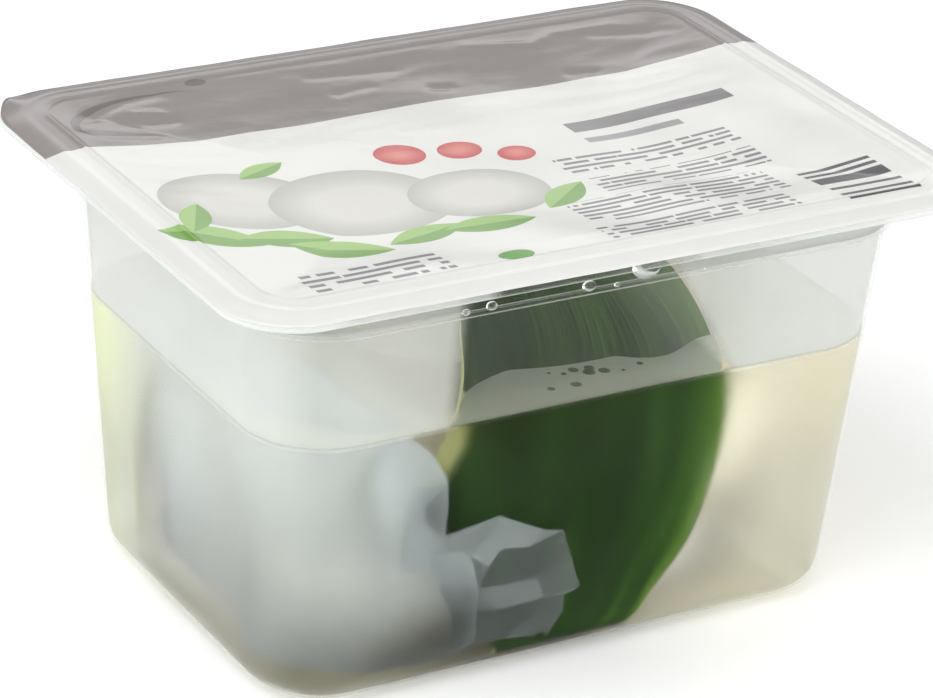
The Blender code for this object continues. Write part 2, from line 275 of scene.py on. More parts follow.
def make_tub():
    bm = bmesh.new()
    shapes = base_shapes(0.0)
    under_land = RIM_HEIGHT - TUB_WALL
    shapes.append(wall_ring(LEDGE_HEIGHT - 0.6 * MM))
    shapes.append(wall_ring(LEDGE_HEIGHT))
    for out, height in (
        (LEDGE_STEP * 0.5, LEDGE_HEIGHT + 0.05 * MM),
        (LEDGE_STEP * 0.9, LEDGE_HEIGHT + 0.2 * MM),
        (LEDGE_STEP, LEDGE_HEIGHT + 0.6 * MM),
        (LEDGE_STEP + 0.3 * MM, under_land - 1.2 * MM),
        (LEDGE_STEP + 0.5 * MM, under_land - 0.5 * MM),
        (LEDGE_STEP + 1.1 * MM, under_land - 0.05 * MM),
        (LEDGE_STEP + 1.6 * MM, under_land),
    ):
        shapes.append((LEDGE_LENGTH + 2 * out, LEDGE_WIDTH + 2 * out, WALL_RADIUS + out, height))
    shapes.append((LAND_LENGTH, LAND_WIDTH, LAND_RADIUS, under_land))
    lip = under_land - LIP_DROP
    shapes.append((LIP_LENGTH - 1.6 * MM, LIP_WIDTH - 1.6 * MM, 12.4 * MM, lip + 0.3 * MM))
    shapes.append((LIP_LENGTH, LIP_WIDTH, 13.0 * MM, lip))
    rim = start_ring(bm, shapes[0], faces_up=False)
    for shape in shapes[1:]:
        rim = grow_ring(bm, rim, shape)
    tub = add_piece("frosted_tub", bm, "tub", "tub")
    tub.data.materials.append(wall_finish("frosted polypropylene, outside", 0.12, 0.0, 1.13))
    tub.data.materials.append(wall_finish("frosted polypropylene, inside", 0.48, 0.25, 0))
    wall = tub.modifiers.new("wall", "SOLIDIFY")
    wall.thickness = TUB_WALL
    wall.offset = -1.0
    wall.use_even_offset = True
    wall.material_offset = 1
    wall.material_offset_rim = 1


make_tub()


# ---------------------------------------------------------------------------------
# Brine.  Salt water and whey, a little cloudy and yellow, that wets the wall and
# stands up a little along it.  A skin of cream with holes in it floats on top.
# ---------------------------------------------------------------------------------
BRINE_REACH = 0.35 * MM
MENISCUS = ((0.0, 0.35), (0.3, 0.12), (0.8, 0.0), (1.6, -0.05), (3.0, -0.05))
CREAM_HOLES = (
    (1.6, -30.6, 0.9), (-0.9, -35.7, 0.95), (3.7, -32.4, 1.1), (4.6, -31.0, 0.9), (6.5, -32.9, 1.0),
    (13.8, -33.0, 0.6), (-5.8, -35.5, 0.7), (-0.7, -31.3, 0.5), (9.7, -34.1, 0.35), (-3.0, -30.0, 0.35),
)


def shadows_pass(tree, shader, tint):
    """Let lamps through, which light what is in the brine."""
    through = add(tree, "BsdfTransparent", {"Color": linear(tint)}).outputs[0]
    lamp = add(tree, "LightPath").outputs["Is Shadow Ray"]
    return add(tree, "MixShader", {0: lamp, 1: shader, 2: through}).outputs[0]


def shut_out(tree, inside):
    """1 where a face is seen from outside the brine."""
    return add(tree, "Math", {0: 1.0, 1: inside}, operation="SUBTRACT").outputs[0]


def brine_finish():
    """Cloudy whey: bends light as water does and blurs what lies deep in it.

    It is milkier at the right, where the cheese fills the tub, and takes a yellow
    green from the leaf's tip at the far left.
    """
    finish, tree = new_finish("cloudy whey")
    place = add(tree, "TexCoord").outputs["Object"]
    spot = add(tree, "SeparateXYZ", {0: place})
    right = spot.outputs["X"]
    leafy = add(tree, "MapRange", {
        "Value": spot.outputs["Y"], "From Min": 4 * MM, "From Max": 28 * MM,
    }, interpolation_type="SMOOTHSTEP").outputs[0]
    end = add(tree, "MapRange", {
        "Value": right, "From Min": -46 * MM, "From Max": -56 * MM, "To Max": 0.5,
    }).outputs[0]
    leafy = add(tree, "Math", {0: leafy, 1: end}, operation="MULTIPLY").outputs[0]
    high = add(tree, "MapRange", {
        "Value": spot.outputs["Z"], "From Min": 12 * MM, "From Max": 46 * MM, "To Min": 0.55,
    }).outputs[0]
    low = add(tree, "MapRange", {
        "Value": right, "From Min": -56 * MM, "From Max": -40 * MM,
        "To Min": BRINE_LEVEL - 30 * MM, "To Max": BRINE_LEVEL + 1.0 * MM,
    }, interpolation_type="SMOOTHSTEP").outputs[0]
    haze = add(tree, "MapRange", {
        "Value": spot.outputs["Z"], "From Min": low, "From Max": BRINE_LEVEL + 2.0 * MM,
        "To Max": 0.3,
    }, interpolation_type="SMOOTHSTEP").outputs[0]
    left = add(tree, "MapRange", {
        "Value": right, "From Min": -52 * MM, "From Max": -60 * MM, "To Max": 0.16,
    }, interpolation_type="SMOOTHSTEP").outputs[0]
    haze = add(tree, "Math", {0: haze, 1: left}, operation="ADD").outputs[0]
    into = add(tree, "BsdfRefraction", {
        "Color": (1, 1, 1, 1), "Roughness": 0.62, "IOR": 1.34,
    }, distribution="BECKMANN")
    out = add(tree, "BsdfGlass", {"Color": (1, 1, 1, 1), "Roughness": 0.05, "IOR": 1.34})
    inside = add(tree, "NewGeometry").outputs["Backfacing"]
    side = add(tree, "MixShader", {0: inside, 1: into.outputs[0], 2: out.outputs[0]})
    swirl = add(tree, "TexNoise", {"Vector": place, "Scale": 38.0, "Detail": 3.0}).outputs[0]
    right = add(tree, "Math", {0: swirl, 1: 0.02, 2: right}, operation="MULTIPLY_ADD").outputs[0]
    milky = add(tree, "MapRange", {
        "Value": right, "From Min": 30 * MM, "From Max": 54 * MM, "To Min": 0.0, "To Max": 0.38,
    }, interpolation_type="SMOOTHSTEP").outputs[0]
    milky = add(tree, "Math", {0: milky, 1: leafy}, operation="ADD").outputs[0]
    milky = add(tree, "Math", {0: milky, 1: haze}, operation="ADD").outputs[0]
    milky = add(tree, "Math", {0: milky, 1: shut_out(tree, inside)}, operation="MULTIPLY").outputs[0]
    creamy = add(tree, "MapRange", {
        "Value": spot.outputs["X"], "From Min": -20 * MM, "From Max": 30 * MM,
    }).outputs[0]
    base = add(tree, "MixRGB", {0: creamy, 1: linear("E2E6E4"), 2: linear("F1ECD4")}).outputs[0]
    tone = add(tree, "MapRange", {"Value": leafy, "To Max": 1.8}).outputs[0]
    tone = add(tree, "Math", {0: tone, 1: high}, operation="MULTIPLY").outputs[0]
    tone = add(tree, "MixRGB", {0: tone, 1: base, 2: linear("E6EEC2")}).outputs[0]
    cloud = add(tree, "BsdfDiffuse", {"Color": tone}).outputs[0]
    glow = add(tree, "BsdfTranslucent", {"Color": tone}).outputs[0]
    cloud = add(tree, "MixShader", {0: 0.3, 1: cloud, 2: glow}).outputs[0]
    side = add(tree, "MixShader", {0: milky, 1: side.outputs[0], 2: cloud})
    surface = shadows_pass(tree, side.outputs[0], "EDEDE6")
    depth = add(tree, "VolumeAbsorption", {"Color": linear("FFF9DA"), "Density": 4.0})
    add(tree, "OutputMaterial", {"Surface": surface, "Volume": depth.outputs[0]})
    return finish


def cream_finish():
    """Skin of cream on the brine: pale and soft, with round holes of clear brine."""
    finish, tree = new_finish("skin of cream")
    place = add(tree, "TexCoord").outputs["Object"]
    water = add(tree, "BsdfGlass", {"Color": (1, 1, 1, 1), "Roughness": 0.03, "IOR": 1.34})
    cream = add(tree, "BsdfPrincipled", {
        "Base Color": linear("E6ECE0"), "Roughness": 0.3, "IOR": 1.35,
    })
    beside = add(tree, "SeparateXYZ", {0: place}).outputs["X"]
    beside = add(tree, "Math", {0: beside, 1: 0.001}, operation="ADD").outputs[0]
    beside = add(tree, "Math", {0: beside}, operation="ABSOLUTE").outputs[0]
    swirl = add(tree, "TexNoise", {"Vector": place, "Scale": 70.0, "Detail": 3.0}).outputs[0]
    beside = add(tree, "Math", {0: swirl, 1: 0.012, 2: beside}, operation="MULTIPLY_ADD").outputs[0]
    thick = add(tree, "MapRange", {
        "Value": beside, "From Min": 33 * MM, "From Max": 38 * MM, "To Min": 0.4, "To Max": 0.9,
    }, interpolation_type="SMOOTHSTEP").outputs[0]
    for x, y, radius in CREAM_HOLES:
        spot = add(tree, "VectorMath", {0: place, 1: (x * MM, y * MM, BRINE_LEVEL)}, operation="DISTANCE")
        open_water = add(tree, "MapRange", {
            "Value": spot.outputs["Value"], "From Min": radius * 0.8 * MM, "From Max": radius * 1.2 * MM,
            "To Min": 0.06, "To Max": 1.0,
        }, interpolation_type="SMOOTHSTEP").outputs[0]
        thick = add(tree, "Math", {0: thick, 1: open_water}, operation="MULTIPLY").outputs[0]
    surface = add(tree, "MixShader", {0: thick, 1: water.outputs[0], 2: cream.outputs[0]})
    surface = shadows_pass(tree, surface.outputs[0], "F4F4EC")
    depth = add(tree, "VolumeAbsorption", {"Color": linear("FFF9DA"), "Density": 4.0})
    add(tree, "OutputMaterial", {"Surface": surface, "Volume": depth.outputs[0]})
    return finish


def make_brine():
    bm = bmesh.new()
    inset = TUB_WALL - BRINE_REACH
    shapes = base_shapes(inset)
    shapes.append(wall_ring(BRINE_LEVEL - 0.5 * MM, inset))
    for side, rise in MENISCUS:
        shapes.append(wall_ring(BRINE_LEVEL + rise * MM, inset + side * MM))
    rim = start_ring(bm, shapes[0], faces_up=False)
    sides = len(shapes) - len(MENISCUS) + 1
    for shape in shapes[1:sides]:
        rim = grow_ring(bm, rim, shape)
    below = set(bm.faces)
    for shape in shapes[sides:]:
        rim = grow_ring(bm, rim, shape)
    bmesh.ops.holes_fill(bm, edges=rim)
    for face in bm.faces:
        face.material_index = 0 if face in below else 1
    brine = add_piece("cloudy_brine", bm, "brine", "brine")
    brine.data.materials.append(brine_finish())
    brine.data.materials.append(cream_finish())


make_brine()


# ---------------------------------------------------------------------------------
# Burrata.  A pouch of pulled curd round soft cream, which has settled on the base:
# smooth and wet, with slack folds and small dents.
# ---------------------------------------------------------------------------------
ball_low, ball_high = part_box("burrata")
BALL_CENTRE = Vector((8.0, 3.0, 33.0)) * MM
BALL_RADII = Vector((49.0, 37.0, 32.0)) * MM
BALL_FLOOR = ball_low.z


def curd_finish():
    """Fresh pulled curd: creamy white, wet, and soft to the light."""
    finish, tree = new_finish("fresh pulled curd")
    place = add(tree, "TexCoord").outputs["Object"]
    patch = add(tree, "TexNoise", {"Vector": place, "Scale": 45.0, "Detail": 4.0}).outputs[0]
    rise = add(tree, "SeparateXYZ", {0: place}).outputs["Z"]
    rise = add(tree, "MapRange", {"Value": rise, "From Min": 8 * MM, "From Max": 48 * MM}).outputs[0]
    patch = add(tree, "Math", {0: rise, 1: 0.22, 2: patch}, operation="MULTIPLY_ADD").outputs[0]
    shade = add(tree, "ValToRGB", {0: patch})
    ramp = shade.color_ramp
    ramp.elements[0].position = 0.42
    ramp.elements[0].color = linear("E5DCC1")
    ramp.elements[1].position = 0.7
    ramp.elements[1].color = linear("E2DFD0")
    grain = add(tree, "TexNoise", {"Vector": place, "Scale": 400.0, "Detail": 3.0}).outputs[0]
    bump = add(tree, "Bump", {"Height": grain, "Strength": 0.3, "Distance": 0.0003}).outputs[0]
    curd = add(tree, "BsdfPrincipled", {
        "Base Color": shade.outputs[0], "Roughness": 0.3, "Normal": bump,
        "Subsurface Weight": 0.3, "Subsurface Radius": (0.004, 0.003, 0.002),
        "Subsurface Scale": 1.0, "IOR": 1.4, "Specular IOR Level": 0.1,
    })
    add(tree, "OutputMaterial", {"Surface": curd.outputs[0]})
    return finish


def make_burrata():
    bm = bmesh.new()
    bmesh.ops.create_icosphere(bm, subdivisions=6, radius=1.0)
    for point in bm.verts:
        way = point.co.normalized()
        turn = atan2(way.y, way.x)
        fold = sin(2.5 * turn + 1.5 * way.z) ** 2 * max(0.0, way.z) * (1 - way.z * way.z)
        slack = noise.noise(way * 2.2) * 1.2 + noise.noise(way * 6.0) * 0.45
        grow = -0.8 * fold * MM + (slack - 0.6) * MM
        spot = Vector([way[i] * (BALL_RADII[i] + grow) for i in range(3)]) + BALL_CENTRE
        spot.z = max(spot.z, BALL_FLOOR + 0.1 * MM * abs(way.x * way.y))
        point.co = spot
    ball = add_piece("pulled_curd", bm, "burrata", "burrata")
    ball.data.materials.append(curd_finish())


make_burrata()


# ---------------------------------------------------------------------------------
# Leaf.  A broad fresh leaf with parallel veins, laid over the cheese: its foot stands
# at the front wall, and its tip hangs down in the far left corner.
# ---------------------------------------------------------------------------------
LEAF_THICKNESS = 0.8 * MM
LEAF_ROUTE = (
    (-0.9, -37.5, 2.4, 14.0, 12.0, 1.5, -0.2),
    (-0.5, -36.2, 9.0, 18.5, 16.5, 4.0, -0.6),
    (1.0, -35.3, 20.5, 27.0, 22.8, 5.0, -0.4),
    (3.5, -35.3, 34.0, 33.0, 25.0, 3.0, 1.0),
    (6.5, -31.5, 45.5, 36.0, 24.8, -7.0, 0.8),
    (8.0, -27.2, 52.2, 33.0, 24.0, -9.5, 0.4),
    (8.5, -18.5, 59.8, 30.0, 20.5, -12.0, 0.8),
    (6.5, -4.0, 65.5, 17.0, 17.5, 2.4, 1.8),
    (-1.0, 12.0, 63.9, 15.0, 16.0, 1.6, 2.0),
    (-13.0, 24.5, 55.0, 12.5, 15.0, 1.0, 2.0),
    (-28.0, 31.5, 43.0, 11.0, 13.0, 0.5, 1.0),
    (-44.0, 30.0, 26.0, 10.0, 11.0, 0.0, 0.5),
    (-52.5, 21.0, 8.0, 5.0, 6.0, 0.0, 0.0),
)


def on_route(route, share):
    """Smooth values at a share of a route's length, in metres."""
    place = share * (len(route) - 1)
    index = min(int(place), len(route) - 2)
    t = place - index
    rows = [route[max(0, min(len(route) - 1, index + k))] for k in (-1, 0, 1, 2)]
    values = []
    for p0, p1, p2, p3 in zip(*rows):
        bend = (2 * p0 - 5 * p1 + 4 * p2 - p3) * t * t + (3 * p1 - p0 - 3 * p2 + p3) * t ** 3
        values.append(0.5 * (2 * p1 + (p2 - p0) * t + bend) * MM)
    return values


def inside_tub(point, clearance):
    """Move a point inwards until it is clear of the tub's inner wall and base."""
    inset = TUB_WALL + clearance
    x, y, z = point
    z = max(z, inset + PANEL_RISE)
    length, width = wall_size(z)
    side = inset
    if z < BASE_FILLET:
        run = BASE_FILLET - inset
        drop = min(1.0, (BASE_FILLET - z) / run)
        side = BASE_FILLET - run * sqrt(1 - drop * drop)
    radius = WALL_RADIUS - inset
    half_x = length / 2 - side
    half_y = width / 2 - side
    x = max(-half_x, min(half_x, x))
    y = max(-half_y, min(half_y, y))
    corner = Vector((copysign(half_x - radius, x), copysign(half_y - radius, y)))
    out = Vector((x, y)) - corner
    if out.x * corner.x > 0 and out.y * corner.y > 0 and out.length > radius:
        x, y = corner + out * (radius / out.length)
    return Vector((x, y, z))


def outside_ball(point, clearance):
    """Move a point outwards until it is clear of the cheese."""
    out = point - BALL_CENTRE
    reach = sqrt(sum((out[i] / (BALL_RADII[i] + clearance)) ** 2 for i in range(3)))
    return BALL_CENTRE + out / reach if reach < 1 else point


def shaped_grid(columns, rows, place):
    """An open sheet laid out by the function, with its u and v as a UV map."""
    bm = bmesh.new()
    bmesh.ops.create_grid(bm, x_segments=columns, y_segments=rows, size=0.5, calc_uvs=True)
    shares = bm.loops.layers.uv.verify()
    for face in bm.faces:
        for corner in face.loops:
            corner[shares].uv = (corner.vert.co.x + 0.5, corner.vert.co.y + 0.5)
    for point in bm.verts:
        point.co = place(point.co.x + 0.5, point.co.y + 0.5)
    return bm


def leaf_point(u, v):
    x, y, z, left, right, left_back, right_back = on_route(LEAF_ROUTE, u)
    centre = Vector((x, y, z))
    ahead = Vector(on_route(LEAF_ROUTE, min(1.0, u + 0.01))[:3])
    behind = Vector(on_route(LEAF_ROUTE, max(0.0, u - 0.01))[:3])
    along = (ahead - behind).normalized()
    out = centre - BALL_CENTRE
    out = Vector([out[i] / BALL_RADII[i] ** 2 for i in range(3)])
    out = (out - along * out.dot(along)).normalized()
    flat = max(0.0, min(1.0, (-8 * MM - y) / (10 * MM)))
    across = along.cross(out)
    side = 2 * v - 1
    across = across.lerp(Vector((1.0, 0.0, 0.0)), flat * max(0.0, -side)).normalized()
    half = right if side > 0 else left
    swell = noise.noise(Vector((u * 9.0, side * 3.0, 2.0)))
    ripple = (0.35 * sin(9.0 * u + 7.0 * side) * side * side + 1.1 * swell) * MM
    if side > 0:
        back = right_back * side * side
        ripple -= 2.6 * MM * exp(-((u - 0.42) / 0.06) ** 2) * sin(pi * side) ** 2
    else:
        back = left_back * (side ** 4 + 1.2 * side * (1 + side))
    level = Vector((out.x, out.y, out.z * (1 - flat))).normalized()
    point = centre + across * half * side - out * ripple - level * back
    point = inside_tub(point, 1.2 * MM)
    return outside_ball(point, LEAF_THICKNESS)


def leaf_finish():
    """Wet green leaf: fine veins run its length, and light comes through it.

    It is darkest in the middle; its margins and its thin tip are a yellower green.
    Its right side, and most of all its part above the brine, has painted light for light coming through it.
    """
    finish, tree = new_finish("wet green leaf")
    shares = add(tree, "TexCoord").outputs["UV"]
    split = add(tree, "SeparateXYZ", {0: shares})
    stretch = add(tree, "Mapping", {"Vector": shares, "Scale": (4.0, 95.0, 1.0)}).outputs[0]
    fine = add(tree, "TexNoise", {"Vector": stretch, "Scale": 1.0, "Detail": 3.0}).outputs[0]
    broad = add(tree, "Mapping", {"Vector": shares, "Scale": (3.0, 6.0, 1.0)}).outputs[0]
    cloud = add(tree, "TexNoise", {"Vector": broad, "Scale": 1.0, "Detail": 2.0}).outputs[0]
    tone = add(tree, "Math", {0: fine, 1: 0.3, 2: 0.1}, operation="MULTIPLY_ADD").outputs[0]
    tone = add(tree, "Math", {0: cloud, 1: 0.4, 2: tone}, operation="MULTIPLY_ADD").outputs[0]
    # Painted light: the leaf's right side, and most of all its part above the brine, is coloured lighter,
    # standing in for light coming through it from above.
    side = add(tree, "MapRange", {"Value": split.outputs["Y"], "From Min": 0.62, "From Max": 0.95}).outputs[0]
    painted_light = add(tree, "MapRange", {
        "Value": split.outputs["X"], "From Min": 0.4, "From Max": 0.5, "To Min": 0.1, "To Max": 0.24,
    }).outputs[0]
    tone = add(tree, "Math", {0: side, 1: painted_light, 2: tone}, operation="MULTIPLY_ADD").outputs[0]
    tone = add(tree, "Math", {0: painted_light, 1: 0.4, 2: tone}, operation="MULTIPLY_ADD").outputs[0]
    tone = add(tree, "Math", {0: tone, 1: 0.04}, operation="SUBTRACT").outputs[0]
    green = add(tree, "ValToRGB", {0: tone})
    ramp = green.color_ramp
    ramp.elements[0].position = 0.34
    ramp.elements[0].color = linear("132708")
    ramp.elements[1].position = 0.66
    ramp.elements[1].color = linear("4B7525")
    middle = ramp.elements.new(0.48)
    middle.color = linear("224110")
    skin_tone = green.outputs[0]
    margin = split.outputs["Y"]
    for start, end, narrow in ((0.31, 0.25, 0.05), (0.39, 0.43, 0.3)):
        wide = add(tree, "MapRange", {
            "Value": split.outputs["X"], "From Min": start, "From Max": end, "To Min": 1.0,
            "To Max": narrow,
        }).outputs[0]
        margin = add(tree, "Math", {0: margin, 1: wide}, operation="DIVIDE").outputs[0]
    for value, start, end, share, colour in (
        (margin, 0.108, 0.085, 0.9, "C0C58C"),
        (split.outputs["Y"], 0.94, 1.0, 0.6, "7FA53C"),
        (split.outputs["X"], 0.66, 0.78, 0.9, "D3DC96"),
    ):
        pale = add(tree, "MapRange", {
            "Value": value, "From Min": start, "From Max": end, "To Max": share,
        }).outputs[0]
        skin_tone = add(tree, "MixRGB", {0: pale, 1: skin_tone, 2: linear(colour)}).outputs[0]
    bump = add(tree, "Bump", {"Height": fine, "Strength": 0.5, "Distance": 0.0004}).outputs[0]
    skin = add(tree, "BsdfPrincipled", {
        "Base Color": skin_tone, "Roughness": 0.4, "Normal": bump, "IOR": 1.42,
        "Specular IOR Level": 0.12,
    })
    glow = add(tree, "BsdfTranslucent", {"Color": skin_tone, "Normal": bump})
    leaf = add(tree, "MixShader", {0: 0.3, 1: skin.outputs[0], 2: glow.outputs[0]})
    add(tree, "OutputMaterial", {"Surface": leaf.outputs[0]})
    return finish


def make_leaf():
    leaf = add_piece("green_leaf", shaped_grid(180, 48, leaf_point), "leaf", "leaf")
    leaf.data.materials.append(leaf_finish())
    blade = leaf.modifiers.new("blade", "SOLIDIFY")
    blade.thickness = LEAF_THICKNESS * 0.6
    blade.offset = 0.0


make_leaf()


# ---------------------------------------------------------------------------------
# Film bag.  The gathered end of the thin bag that the cheese comes in: clear film in
# several layers, pleated softly round the left wall and crumpled sharply at its end.
# ---------------------------------------------------------------------------------
BAG_ROUTE = (
    (-49.5, 15.0, 2.2),
    (-54.0, 5.0, 2.6),
    (-50.5, -8.0, 2.8),
    (-54.0, -21.0, 2.6),
    (-49.5, -31.5, 2.4),
    (-43.0, -36.4, 2.0),
    (-37.0, -38.2, 1.6),
    (-31.5, -38.8, 1.2),
    (-28.1, -39.2, 0.8),
    (-27.0, -39.2, 0.5),
    (-20.0, -39.2, 0.4),
)
BAG_EDGES = (
    (13, 60), (10, 64), (8, 66), (6, 65), (5, 62), (4.5, 57), (4.5, 51.5), (4.5, 46.5), (4.5, 41.0),
    (4.5, 26.0), (6.0, 17.0),
)
# Where the layers lie: centre, reach, and how much whiter (+) or clearer (-) it is.
LAYERS = (
    ((-60, -1, 34), (9, 5, 18), 0.30),
    ((-60, -8, 22), (9, 4, 12), 0.16),
    ((-61, -18, 54), (9, 9, 7), 0.20),
    ((-60, -30, 50), (7, 6, 7), 0.30),
    ((-57, -37, 42), (5, 6, 7), 0.30),
    ((-60, -18, 31), (9, 6, 8), -0.16),
    ((-59, -27, 24), (9, 7, 8), -0.14),
    ((-46, -41, 34), (5, 5, 12), -0.22),
    ((-39, -41, 42), (4, 5, 14), 0.26),
    ((-30, -41, 34), (3, 5, 5.5), -0.34),
    ((-27, -41, 11), (10, 5, 7), -0.42),
    ((-40, -40, 8), (12, 7, 5), -0.2),
)
# The crumpled end's corners on the front wall: x, height, and distance from the wall.
FOLDS = {
    "notch": (-28.4, 29.4, 0.9), "peak": (-17.4, 31.4, 0.4), "saddle": (-19.3, 27.2, 1.2),
    "corner": (-4.0, 25.6, 0.4), "brow": (-10.5, 23.6, 0.5), "brow top": (-8.2, 26.6, 0.5),
    "palm": (-30.6, 26.6, 0.5), "palm top": (-24.4, 25.8, 0.5), "palm foot": (-28.6, 19.6, 0.8),
    "beak root": (-22.2, 24.0, 0.6), "beak": (-18.6, 21.6, 0.4), "beak back": (-16.2, 24.6, 0.6),
    "cleft": (-20.2, 17.2, 0.8), "pit": (-13.5, 16.4, 1.8), "pit edge": (-8.0, 16.6, 1.3),
    "side": (-1.7, 19.4, 0.5), "tip": (0.7, 13.1, 0.4), "under tip": (-2.6, 12.0, 0.4),
    "chin": (-6.6, 12.4, 0.7), "hem": (-2.2, 8.6, 0.6), "hem foot": (-5.0, 4.4, 0.8),
    "bulge": (-9.2, 8.8, 0.5), "gully": (-25.0, 13.2, 2.2), "gully end": (-15.0, 11.6, 1.6),
    "gully foot": (-14.0, 5.6, 1.0), "foot": (-25.0, 5.2, 0.8),
    "cuff": (-28.2, 39.3, 0.4), "cuff side": (-27.8, 34.0, 0.5), "cuff back": (-32.4, 36.6, 1.0),
    "crook": (-32.0, 33.0, 1.3), "crook foot": (-29.3, 30.6, 1.2), "sleeve top": (-34.2, 40.2, 0.4),
    "sleeve side": (-35.0, 33.6, 0.5), "sleeve": (-36.0, 25.0, 0.6), "sleeve foot": (-30.0, 23.2, 0.6),
}
# Its flat facets: how white the film is there, how much painted light it gets (0 is deep painted shade), and
# its corners.
FACETS = (
    (0.42, 0.60, "notch", "peak", "saddle", "beak root", "palm top", "palm"),
    (0.52, 0.62, "peak", "brow top", "brow", "beak back", "saddle"),
    (0.55, 0.60, "saddle", "beak back", "beak", "beak root"),
    (0.42, 0.50, "brow top", "corner", "brow"),
    (0.16, 0.45, "brow", "corner", "pit edge", "pit", "cleft", "beak", "beak back"),
    (0.20, 0.45, "corner", "side", "pit edge"),
    (0.24, 0.45, "side", "tip", "chin", "pit edge"),
    (0.40, 0.50, "cleft", "pit", "pit edge", "chin", "gully end"),
    (0.30, 0.50, "tip", "under tip", "chin"),
    (0.20, 0.40, "chin", "under tip", "hem", "bulge"),
    (0.26, 0.35, "hem", "hem foot", "bulge"),
    (0.66, 0.62, "palm", "palm top", "beak root", "cleft", "palm foot"),
    (0.30, 0.50, "beak root", "beak", "cleft"),
    (0.70, 0.25, "palm foot", "cleft", "gully end", "gully"),
    (0.85, 0.00, "gully", "gully end", "gully foot", "foot"),
    (0.50, 0.05, "gully end", "chin", "bulge", "gully foot"),
    (0.28, 0.35, "bulge", "hem foot", "gully foot"),
    (0.24, 0.62, "cuff", "cuff side", "notch", "crook foot", "crook", "cuff back"),
    (0.30, 0.85, "sleeve top", "cuff", "cuff back", "crook", "sleeve side"),
    (0.36, 0.85, "sleeve side", "crook", "crook foot", "palm", "sleeve foot", "sleeve"),
    (0.45, 0.75, "crook foot", "notch", "palm"),
)


def facets(place, size):
    """Height, 0 to 1, of a surface of flat facets about this size."""
    turned = Matrix.Rotation(0.5, 3, "Z") @ place
    return noise.voronoi(turned / size, distance_metric="CHEBYCHEV")[0][0]


def bag_point(u, v):
    x, y, depth = on_route(BAG_ROUTE, u)
    row = u * (len(BAG_EDGES) - 1)
    index = min(int(row), len(BAG_EDGES) - 2)
    low, high = [
        (a + (b - a) * (row - index)) * MM for a, b in zip(BAG_EDGES[index], BAG_EDGES[index + 1])
    ]
    ahead = Vector(on_route(BAG_ROUTE, min(1.0, u + 0.01))[:2])
    behind = Vector(on_route(BAG_ROUTE, max(0.0, u - 0.01))[:2])
    along = (ahead - behind).normalized()
    out = Vector((-along.y, along.x))
    height = low + (high - low) * v
    run = u * 80 * MM
    spot = Vector((run, height * 0.6, 0.0))
    wave = 1.5 * noise.noise(spot * 75.0) + 0.8 * noise.noise(Vector((run * 150, height * 50, 3)))
    shift = depth * wave + 0.8 * MM * (facets(Vector((run, height, 0.0)), 13 * MM) - 0.4)
    plan = Vector((x, y)) - out * shift
    rag = 1.2 * MM * noise.noise(Vector((run * 120, height * 120, 7.0)))
    return inside_tub(Vector((*plan, height + rag)), 0.7 * MM)


def layers_at(point):
    """How white the pleated film is at a point, and its painted light: darker towards the base, lighter where
    the film is whiter.
    """
    white = 0.52
    for centre, reach, change in LAYERS:
        away = [(point[i] - centre[i] * MM) / (reach[i] * MM) for i in range(3)]
        white += change * exp(-sum(d * d for d in away))
    # Painted shade and light: low down the film is coloured darker, and higher up and where it is whiter it
    # is coloured lighter.
    rise = max(0.0, min(1.0, (point.z - 5 * MM) / (36 * MM)))
    painted_light = 0.32 + 0.55 * rise + (white - 0.5) * 0.7
    return white, painted_light


def add_crumple(bm, layers_and_painted_light):
    """Add the crumpled end's flat facets."""
    corners = {}
    for name, (x, height, depth) in FOLDS.items():
        wall = wall_size(height * MM)[1] / 2 - TUB_WALL
        point = Vector((x * MM, (depth + 0.6) * MM - wall, height * MM))
        corners[name] = bm.verts.new(inside_tub(point, 0.7 * MM))
    for white, painted_light, *names in FACETS:
        face = bm.faces.new([corners[name] for name in names])
        for loop in face.loops:
            loop[layers_and_painted_light] = (white, painted_light, 0.0, 1.0)


def film_finish():
    """Thin polyethylene film: bluish white where its layers pile up, else clear; its colour runs from painted
    shade to painted light.
    """
    finish, tree = new_finish("crumpled polyethylene film")
    layers_and_painted_light = add(tree, "SeparateColor", {0: add(tree, "Attribute", attribute_name="layers_and_painted_light").outputs["Color"]})
    white, painted_light = layers_and_painted_light.outputs["Red"], layers_and_painted_light.outputs["Green"]
    edge = add(tree, "LayerWeight", {"Blend": 0.4}).outputs["Facing"]
    edge = add(tree, "Math", {0: edge, 1: 3.0}, operation="POWER").outputs[0]
    dense = add(tree, "Math", {0: edge, 1: 0.3, 2: white}, operation="MULTIPLY_ADD", use_clamp=True)
    # Painted light and shade: the film's colour runs from dark grey in painted shade to bluish white in
    # painted light.
    tone = add(tree, "MixRGB", {0: painted_light, 1: linear("565E5B"), 2: linear("DDE6EC")}, use_clamp=True)
    clear = add(tree, "BsdfTransparent").outputs[0]
    skin = add(tree, "BsdfPrincipled", {"Base Color": tone.outputs[0], "Roughness": 0.35})
    glow = add(tree, "BsdfTranslucent", {"Color": tone.outputs[0]})
    film = add(tree, "MixShader", {0: 0.4, 1: skin.outputs[0], 2: glow.outputs[0]}).outputs[0]
    film = add(tree, "MixShader", {0: dense.outputs[0], 1: clear, 2: film}).outputs[0]
    add(tree, "OutputMaterial", {"Surface": film})
    return finish


